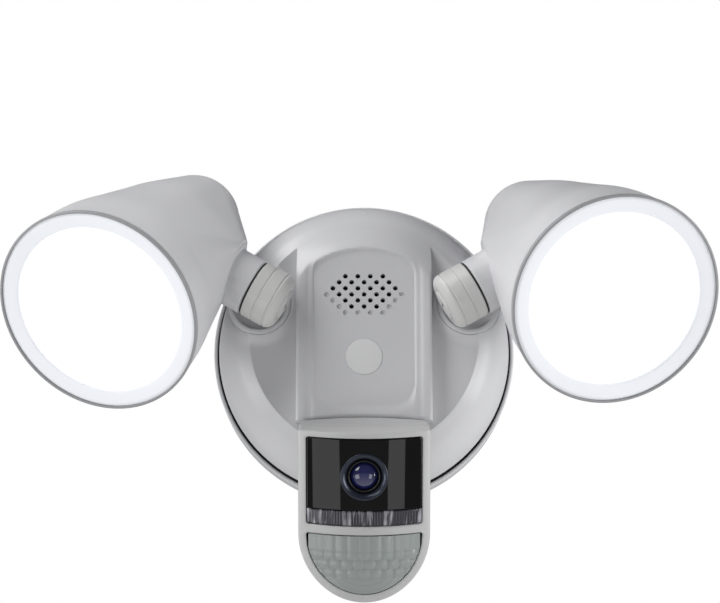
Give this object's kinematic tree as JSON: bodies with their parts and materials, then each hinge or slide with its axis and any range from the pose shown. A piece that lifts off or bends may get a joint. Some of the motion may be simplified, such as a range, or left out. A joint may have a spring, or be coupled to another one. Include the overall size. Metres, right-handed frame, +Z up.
{
  "type": "floodlight security camera",
  "caption": "Wall mounted security camera: round base with a speaker column, a pair of aimable floodlights on elbow arms and a tilting camera pod with a motion sensor.",
  "frame": {"origin": "centre of the wall face, on the steel bracket's back", "axes": "+X to the viewer's right, +Y into the wall, +Z up; the camera looks along -Y"},
  "size_m": [0.2961, 0.1273, 0.1896],
  "materials": {
    "housing": "semi-gloss white moulded ABS",
    "rubber": "black silicone seal",
    "plug": "satin white elastomer",
    "steel": "zinc plated steel",
    "board": "green circuit board",
    "black": "black moulded plastic",
    "window": "polished black acrylic",
    "strip": "clear ribbed light pipe over a dark cavity",
    "fresnel": "milky HDPE Fresnel lens",
    "glass": "coated optical glass",
    "diffuser": "opal diffuser, lit",
    "aluminium": "die cast aluminium",
    "nylon": "natural nylon"
  },
  "bodies": {
    "base": {"bracket_screw_left": "steel", "bracket_screw_right": "steel", "cable_gland": "rubber", "collar_left": "housing", "collar_right": "housing", "cover_seal": "rubber", "front_cover": "housing", "hinge_pin": "steel", "main_board": "board", "mounting_screw": "steel", "power_board": "board", "power_capacitors": "aluminium", "power_module": "black", "screw_plug": "plug", "speaker": "black", "speaker_seal": "rubber", "terminal_block": "nylon", "wall_bracket": "steel", "wall_gasket": "rubber", "wall_plate": "housing", "wifi_antenna": "steel"},
    "arm_left": {"knuckle_cap_left": "housing", "knuckle_left": "housing", "swivel_clip_left": "steel"},
    "lamp_left": {"heat_sink_left": "aluminium", "knuckle_seal_left": "rubber", "lamp_bezel_left": "housing", "lamp_gasket_left": "rubber", "lamp_housing_left": "housing", "lamp_lens_left": "diffuser", "led_board_left": "board"},
    "arm_right": {"knuckle_cap_right": "housing", "knuckle_right": "housing", "swivel_clip_right": "steel"},
    "lamp_right": {"heat_sink_right": "aluminium", "knuckle_seal_right": "rubber", "lamp_bezel_right": "housing", "lamp_gasket_right": "rubber", "lamp_housing_right": "housing", "lamp_lens_right": "diffuser", "led_board_right": "board"},
    "camera_pod": {"camera_board": "board", "camera_window": "window", "image_sensor": "black", "lens_barrel": "black", "lens_glass": "glass", "lens_ring": "black", "light_strip": "strip", "microphone": "steel", "pir_board": "board", "pir_lens": "fresnel", "pir_sensor": "steel", "pod_bezel": "housing", "pod_rear_shell": "housing", "pod_screw_1": "steel", "pod_screw_2": "steel", "pod_screw_3": "steel", "pod_screw_4": "steel", "pod_seal": "rubber", "strip_led_board": "board"}
  },
  "joints": [
    {"name": "left_arm_swivel", "type": "hinge", "parent": "base", "child": "arm_left", "pos_m": [-0.041, -0.05, 0.0146], "axis": [0, -1, 0], "range_deg": [-25, 30]},
    {"name": "left_lamp_tilt", "type": "hinge", "parent": "arm_left", "child": "lamp_left", "pos_m": [-0.041, -0.0685, 0.0146], "axis": [-0.8712, 0, 0.4909], "range_deg": [-35, 45]},
    {"name": "right_arm_swivel", "type": "hinge", "parent": "base", "child": "arm_right", "pos_m": [0.041, -0.05, 0.0146], "axis": [0, -1, 0], "range_deg": [-30, 25]},
    {"name": "right_lamp_tilt", "type": "hinge", "parent": "arm_right", "child": "lamp_right", "pos_m": [0.041, -0.0685, 0.0146], "axis": [0.8712, 0, 0.4909], "range_deg": [-45, 25]},
    {"name": "pod_tilt", "type": "hinge", "parent": "base", "child": "camera_pod", "pos_m": [0, -0.06, -0.04182], "axis": [1, 0, 0], "range_deg": [-20, 20]}
  ]
}
